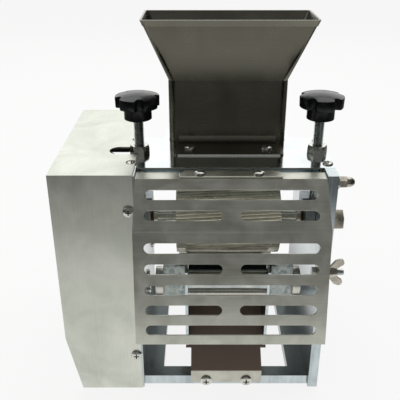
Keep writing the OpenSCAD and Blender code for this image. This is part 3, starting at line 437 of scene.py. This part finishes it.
# edge breaks in mm: sheared sheet is barely broken, machined plate a little more
edgeBreaks = {
    "left_cheek": 0.6, "right_cheek": 0.6, "base_plate": 0.5, "top_plate": 0.6, "hopper": 0.5,
    "clamp_strip": 0.4, "casing": 0.35, "guard": 0.35, "lock_nuts": 0.4, "acorn_nut": 0.3, "wing_nut": 0.5,
    "stop_bolt": 0.5, "left_block": 0.5, "right_block": 0.5, "scraper_blocks": 0.5, "scraper_collars": 0.6,
    "bearing_housings": 0.6, "chute_sheet": 0.4, "chute_plates": 0.4, "gearbox": 1.2, "motor_cap": 1.0,
    "mains_inlet": 0.5, "switch_frame": 0.4, "switch_rocker": 0.4, "hinge_bar": 0.5, "scraper_bar": 0.4,
    "hopper_screws": 0.3, "casing_screws": 0.3, "clamp_screws": 0.3, "chute_screws": 0.3,
    "top_plate_screws": 0.2, "base_screws": 0.2,
}
# weld in mm; the angles, in degrees, say what is flat, a fold, sharp, and the edge of a sheet
edgeRules = dict(weld=0.005, flat=0.5, foldFrom=3, foldTo=60, sharp=30, sheetTurn=55, segments=2)

# bends of folded sheet in mm: height, width that the curve takes, how far from that height an edge may lie
foldCurves = {"hopper": dict(level=312.0, curve=7.0, reach=0.01),
              "guard": dict(level=212.0, curve=1.6, reach=1.5)}
# corners within snap of a fold's height are brought onto it, in mm
foldRules = dict(snap=0.3, weld=0.01, segments=6)

# screws with a driver recess: axis and way that the head faces, radius and height of the head in mm
screwHeads = {
    "hopper_screws": dict(axis=2, way=1, radius=5.6, height=3.4),
    "clamp_screws": dict(axis=2, way=1, radius=5.6, height=3.4),
    "casing_screws": dict(axis=1, way=-1, radius=5.6, height=3.4),
    "chute_screws": dict(axis=1, way=-1, radius=5.6, height=3.4),
    "top_plate_screws": dict(axis=2, way=1, radius=5.0, height=2.2),
}
# the cross starts above the head's foot and stays below its dome, which stands on a straight rim;
# foot and below are in mm, rim is a share of the head's height and reach of its radius
recessRules = dict(foot=0.1, below=0.2, rim=0.25, reach=0.62)


def islands(bm):
    left = set(bm.verts)
    while left:
        island, edge = set(), [left.pop()]
        while edge:
            vert = edge.pop()
            island.add(vert)
            for near in (e.other_vert(vert) for e in vert.link_edges):
                if near in left:
                    left.discard(near)
                    edge.append(near)
        yield island


def markRecesses(bm, head):
    # every corner that lies under the dome of its screw's head is part of the cross
    axis, way, height = head["axis"], head["way"], head["height"]
    rim, below = recessRules["rim"], recessRules["below"]
    # the cross is marked for painted shade
    recess = bm.verts.layers.float.new("recess")
    for island in islands(bm):
        places = [vert.co for vert in island]
        centre = [(min(co[i] for co in places) + max(co[i] for co in places)) / 2 for i in range(3)]
        top = max(co[axis] * way for co in places)
        for vert in island:
            across = math.dist(*([co[i] for i in range(3) if i != axis] for co in (vert.co, centre))) / mm
            level = height - (top - vert.co[axis] * way) / mm
            dome = height * (rim + (1 - rim) * math.sqrt(max(0, 1 - (across / head["radius"]) ** 2)))
            inside = across < recessRules["reach"] * head["radius"]
            vert[recess] = 1.0 if recessRules["foot"] < level < dome - below and inside else 0.0


def curveFold(bm, node):
    fold = foldCurves[node]
    near = [v for v in bm.verts if abs(v.co.z / mm - fold["level"]) < foldRules["snap"]]
    for vert in near:
        vert.co.z = fold["level"] * mm
    bmesh.ops.remove_doubles(bm, verts=near, dist=foldRules["weld"] * mm)
    least, most = math.radians(edgeRules["foldFrom"]), math.radians(edgeRules["foldTo"])
    folds = [e for e in bm.edges if all(abs(v.co.z / mm - fold["level"]) < fold["reach"] for v in e.verts)
             and len(e.link_faces) == 2 and least < e.calc_face_angle(0) < most]
    bmesh.ops.bevel(bm, geom=folds, offset=fold["curve"] * mm, offset_type="OFFSET", affect="EDGES",
                    segments=foldRules["segments"], profile=0.5, material=-1, clamp_overlap=True)
    print("fold curved:", node, len(folds), "edges")


def markSheetEdges(bm):
    # as narrow as a sheet is thick, between two sharp edges; these faces get a painted highlight
    burnish = bm.faces.layers.float.new("burnish")
    turn = math.radians(edgeRules["sheetTurn"])
    for face in bm.faces:
        along = sorted(face.edges, key=lambda e: -e.calc_length())[:2]
        narrow = face.calc_area() < faceRules["sheetEdge"] * mm * along[0].calc_length()
        face[burnish] = float(narrow and all(e.calc_face_angle(0) > turn for e in along))


def brokenEdges(node, width):
    bm = bmesh.new()
    bm.from_mesh(nodes[node].data)
    bmesh.ops.remove_doubles(bm, verts=bm.verts, dist=edgeRules["weld"] * mm)
    bmesh.ops.dissolve_limit(bm, angle_limit=math.radians(edgeRules["flat"]), verts=bm.verts, edges=bm.edges)
    if node in foldCurves:
        curveFold(bm, node)
    limit = math.radians(edgeRules["sharp"])
    sharp = [e for e in bm.edges if len(e.link_faces) == 2 and e.calc_face_angle(0) > limit]
    markSheetEdges(bm)
    bmesh.ops.bevel(bm, geom=sharp, offset=width * mm, offset_type="OFFSET", affect="EDGES",
                    segments=edgeRules["segments"], profile=0.5, material=-1, clamp_overlap=True)
    if node in screwHeads:
        markRecesses(bm, screwHeads[node])
    words = node.split("_")
    return finishPiece(words[0] + "".join(w.title() for w in words[1:]) + "Finished", bm, [node])


for node, width in edgeBreaks.items():
    brokenEdges(node, width)
print("edges broken:", len(edgeBreaks))


def ring(bm, edges, shape):
    # extrudes a loop of edges and gives each new vertex the place that shape works out
    made = bmesh.ops.extrude_edge_only(bm, edges=edges)["geom"]
    fresh = {v for v in made if isinstance(v, bmesh.types.BMVert)}
    for v in fresh:
        v.co = shape(v.co)
    return [e for e in made if isinstance(e, bmesh.types.BMEdge) and all(v in fresh for v in e.verts)]


# sizes in mm, angles in degrees; turn says where the lobes of each knob stand
knob = dict(lobes=5, lobeRadius=21.3, valleyRadius=17.0, collarRadius=13.4, collarFoot=12.4, segments=200,
            valleyWidth=0.75, crown=26.0, fall=3.6, smooth=40, turn={"left_knob": 25, "right_knob": 0},
            # height, share of the lobed outline, share of the radius
            sides=[(0.6, 0, 1.0), (11.4, 0, 1.0), (12.0, 0, 1.02), (12.1, 1, 0.93), (12.4, 1, 0.975),
                   (13.0, 1, 0.99), (21.6, 1, 1.0)],
            # shares of the outline on the domed top
            dome=[0.992, 0.972, 0.94, 0.88, 0.78, 0.64, 0.46, 0.26, 0.08])


def starKnob(name, node):
    low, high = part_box(node)
    middle = (low + high) / 2
    first = math.pi / 2 + math.radians(knob["turn"][node])
    bm = bmesh.new()
    bmesh.ops.create_circle(bm, cap_ends=True, segments=knob["segments"], radius=knob["collarFoot"] * mm)
    bmesh.ops.translate(bm, vec=(middle.x, middle.y, low.z), verts=bm.verts)
    edges = [e for e in bm.edges if e.is_boundary]
    for height, lobed, share in knob["sides"] + [(None, 1, share) for share in knob["dome"]]:
        def shape(co):
            angle = math.atan2(co.y - middle.y, co.x - middle.x)
            # broad lobes with narrow valleys between them
            swell = min(1.0, (math.cos(knob["lobes"] * (angle + first)) + 1) / knob["valleyWidth"])
            lobe = swell * swell * (3 - 2 * swell)
            star = knob["valleyRadius"] + (knob["lobeRadius"] - knob["valleyRadius"]) * lobe
            radius = (knob["collarRadius"] * (1 - lobed) + star * lobed) * share
            domed = knob["crown"] - knob["fall"] * (radius / knob["lobeRadius"]) ** 2
            level = domed if height is None else height
            return Vector((middle.x + radius * mm * math.cos(angle), middle.y + radius * mm * math.sin(angle),
                           low.z + level * mm))
        edges = ring(bm, edges, shape)
    bmesh.ops.edgeloop_fill(bm, edges=edges)
    bmesh.ops.recalc_face_normals(bm, faces=bm.faces)
    return finishPiece(name, bm, [node], smoothAngle=knob["smooth"])


starKnob("leftStarKnob", "left_knob")
starKnob("rightStarKnob", "right_knob")

# lengths in mm; button and neck, at the foot that turns in its block, are shares of the rod's radius
rod = dict(pitch=1.5, depth=1.0, steps=24, low=216.0, high=286.0, weld=0.002, smooth=20, button=0.9, neck=0.6,
           chamfer=0.4, buttonHeight=3, shoulder=10, coreDepth=1.05, coreSteps=40,
           # share of the thread's depth and share of its pitch
           ridge=[(0, 0.0), (1, 0.36), (1, 0.50), (0, 0.86), (0, 1.0)])


def threadedShell(bm, x, y, radius):
    # one pitch of the thread's outline, spun up the rod
    pitch, root = rod["pitch"] * mm, radius - rod["depth"] * mm
    low, high = rod["low"] * mm, rod["high"] * mm
    verts = [bm.verts.new((x + (radius if out else root), y, low + share * pitch))
             for out, share in rod["ridge"]]
    edges = [bm.edges.new(pair) for pair in zip(verts, verts[1:])]
    turns = int((high - low) / pitch)
    bmesh.ops.spin(bm, geom=verts + edges, cent=(x, y, 0), axis=(0, 0, 1), angle=2 * math.pi * turns,
                   dvec=(0, 0, pitch / rod["steps"]), steps=turns * rod["steps"], use_merge=False,
                   use_duplicate=False)


def turnedShape(bm, x, y, outline):
    # outline is radius and height in metres, from the axis round to the axis
    verts = [bm.verts.new((x + r, y, z)) for r, z in outline]
    edges = [bm.edges.new(pair) for pair in zip(verts, verts[1:])]
    bmesh.ops.spin(bm, geom=verts + edges, cent=(x, y, 0), axis=(0, 0, 1), angle=2 * math.pi,
                   steps=rod["coreSteps"], use_merge=True, use_duplicate=False)


def starScrew(name, node):
    low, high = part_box(node)
    x, y = (low.x + high.x) / 2, (low.y + high.y) / 2
    radius = (high.x - low.x) / 2
    bm = bmesh.new()
    threadedShell(bm, x, y, radius)
    bmesh.ops.remove_doubles(bm, verts=bm.verts, dist=rod["weld"] * mm)
    bmesh.ops.holes_fill(bm, edges=[e for e in bm.edges if e.is_boundary])
    button, neck, core = rod["button"] * radius, rod["neck"] * radius, radius - rod["coreDepth"] * mm
    chamfer, buttonTop = rod["chamfer"] * mm, low.z + rod["buttonHeight"] * mm
    shoulder = low.z + rod["shoulder"] * mm
    turnedShape(bm, x, y, [(0, low.z), (button - chamfer, low.z), (button, low.z + chamfer),
                           (button, buttonTop), (neck, buttonTop), (neck, shoulder),
                           (core, shoulder), (core, high.z), (0, high.z)])
    bmesh.ops.remove_doubles(bm, verts=bm.verts, dist=rod["weld"] * mm)
    bmesh.ops.recalc_face_normals(bm, faces=bm.faces)
    return finishPiece(name, bm, [node], smoothAngle=rod["smooth"])


starScrew("leftStarScrew", "left_screw")
starScrew("rightStarScrew", "right_screw")
print("star screws made")

# size and drop in metres; white ends and dark starts at these places along y, in metres
stageLook = dict(size=12.0, drop=0.0001, colour="FAFAF8", lift=0.85, whiteTo=-0.27, darkFrom=-0.63,
                 darkest=0.12)
# how far to the side the white reaches, in metres on the floor and as a share of a direction in the room
sideLook = dict(floorWhite=0.30, floorDark=0.58, roomWhite=0.40, roomDark=0.72, darkest=0.14)
# how bright metal sees the room at eye level and overhead, and the sweep behind the mill
roomLook = dict(level=0.27, overhead=0.11, sweep=0.90, sweepFrom=-0.05, sweepTo=0.50, ambient=0.50)


def mirroredRays(tree, rays):
    # one for rays that metal or glass sends on, so that they see the white too
    return addNode(tree, "Math", {"operation": "MAXIMUM"},
                   links={0: rays["Is Glossy Ray"], 1: rays["Is Transmission Ray"]}).outputs["Value"]


def sideFade(tree, across, white, dark):
    # one in the middle, dim towards both sides
    width = addNode(tree, "Math", {"operation": "ABSOLUTE"}, links={0: across}).outputs[0]
    return addNode(tree, "MapRange", {"interpolation_type": "SMOOTHSTEP"},
                   {"From Min": white, "From Max": dark, "To Min": 1.0, "To Max": sideLook["darkest"]},
                   {"Value": width}).outputs["Result"]


def paleFloor():
    material = bpy.data.materials.new("paleFloor")
    material.use_nodes = True
    tree = material.node_tree
    tree.nodes.clear()
    rays = addNode(tree, "LightPath").outputs
    place = addNode(tree, "NewGeometry").outputs["Position"]
    spot = addNode(tree, "SeparateXYZ", links={"Vector": place}).outputs
    # polished metal mirrors a white table that ends in front of the mill and beside it
    ahead = addNode(tree, "MapRange", {"interpolation_type": "SMOOTHSTEP"},
                    {"From Min": stageLook["darkFrom"], "From Max": stageLook["whiteTo"],
                     "To Min": stageLook["darkest"], "To Max": 1.0}, {"Value": spot["Y"]}).outputs["Result"]
    beside = sideFade(tree, spot["X"], sideLook["floorWhite"], sideLook["floorDark"])
    mirrored = addNode(tree, "Math", {"operation": "MULTIPLY"}, links={0: ahead, 1: beside}).outputs[0]
    paint = addNode(tree, "BsdfDiffuse", values={"Color": hexColour(stageLook["colour"])}).outputs["BSDF"]
    glow = addNode(tree, "Emission", values={"Strength": 1.0}).outputs["Emission"]
    mirrorGlow = addNode(tree, "Emission", links={"Strength": mirrored}).outputs["Emission"]
    seen = addNode(tree, "MixShader", values={"Fac": stageLook["lift"]}, links={1: paint, 2: glow})
    direct = addNode(tree, "MixShader",
                     links={"Fac": rays["Is Camera Ray"], 1: paint, 2: seen.outputs["Shader"]})
    final = addNode(tree, "MixShader",
                    links={"Fac": mirroredRays(tree, rays), 1: direct.outputs["Shader"], 2: mirrorGlow})
    addNode(tree, "OutputMaterial", links={"Surface": final.outputs["Shader"]})
    return material


bm = bmesh.new()
bmesh.ops.create_grid(bm, x_segments=1, y_segments=1, size=stageLook["size"] / 2)
bmesh.ops.translate(bm, vec=(0, 0, cadBox[0].z - stageLook["drop"]), verts=bm.verts)
floorMesh = bpy.data.meshes.new("floor")
bm.to_mesh(floorMesh)
bm.free()
floorMesh.materials.append(paleFloor())
floor = bpy.data.objects.new("floor", floorMesh)
bpy.context.scene.collection.objects.link(floor)

world = bpy.data.worlds.new("studio")
bpy.context.scene.world = world
world.use_nodes = True
tree = world.node_tree
tree.nodes.clear()
rays = addNode(tree, "LightPath").outputs
direction = addNode(tree, "TexCoord").outputs["Generated"]
way = addNode(tree, "SeparateXYZ", links={"Vector": direction}).outputs
# a white sweep behind the mill and a dim room in front of it, darkest overhead
room = addNode(tree, "MapRange",
               values={"From Min": 0.0, "From Max": 1.0, "To Min": roomLook["level"],
                       "To Max": roomLook["overhead"]}, links={"Value": way["Z"]}).outputs["Result"]
sweep = addNode(tree, "MapRange", {"interpolation_type": "SMOOTHSTEP"},
                {"From Min": roomLook["sweepFrom"], "From Max": roomLook["sweepTo"],
                 "To Max": roomLook["sweep"]},
                {"Value": way["Y"], "To Min": room}).outputs["Result"]
beside = sideFade(tree, way["X"], sideLook["roomWhite"], sideLook["roomDark"])
mirrored = addNode(tree, "Math", {"operation": "MULTIPLY"}, links={0: sweep, 1: beside}).outputs[0]
ambient = addNode(tree, "Mix", {"data_type": "FLOAT"}, {"A": roomLook["ambient"]},
                  {"Factor": mirroredRays(tree, rays), "B": mirrored}).outputs["Result"]
strength = addNode(tree, "Mix", {"data_type": "FLOAT"}, {"B": 1.0},
                   {"Factor": rays["Is Camera Ray"], "A": ambient}).outputs["Result"]
background = addNode(tree, "Background", values={"Color": (1.0, 1.0, 1.0, 1.0)}, links={"Strength": strength})
addNode(tree, "OutputWorld", links={"Surface": background.outputs["Background"]})

softboxes = {
    "overheadSoftbox": dict(at=(0.1, 0.55, 1.35), towards=(0, 0, 0.15), size=(1.5, 1.0), watts=5.5),
    "backSoftbox": dict(at=(0.0, 1.7, 0.95), towards=(0, 0, 0.2), size=(2.2, 0.9), watts=3.5),
    "leftSoftbox": dict(at=(-1.3, -0.2, 0.9), towards=(0, 0, 0.15), size=(1.0, 1.2), watts=2.5),
}
for name, box in softboxes.items():
    lamp = bpy.data.lights.new(name, "AREA")
    lamp.shape = "RECTANGLE"
    lamp.size, lamp.size_y = box["size"]
    lamp.energy = box["watts"]
    holder = bpy.data.objects.new(name, lamp)
    bpy.context.scene.collection.objects.link(holder)
    aim = Vector(box["towards"]) - Vector(box["at"])
    holder.matrix_world = Matrix.Translation(box["at"]) @ aim.to_track_quat("-Z", "Y").to_matrix().to_4x4()

# place in metres, tilt in degrees from straight down, lens and sensor in mm
view = dict(at=(-0.0020, -0.571, 0.466), tilt=64.2, lens=54.3, sensor=36.0, near=0.01, far=50)
cameraData = bpy.data.cameras.new("camera")
cameraData.lens = view["lens"]
cameraData.sensor_width = view["sensor"]
cameraData.clip_start, cameraData.clip_end = view["near"], view["far"]
camera = bpy.data.objects.new("camera", cameraData)
bpy.context.scene.collection.objects.link(camera)
camera.location = view["at"]
camera.rotation_euler = (math.radians(view["tilt"]), 0, 0)
bpy.context.scene.camera = camera
bpy.context.scene.view_settings.view_transform = "Standard"
print("stage set")
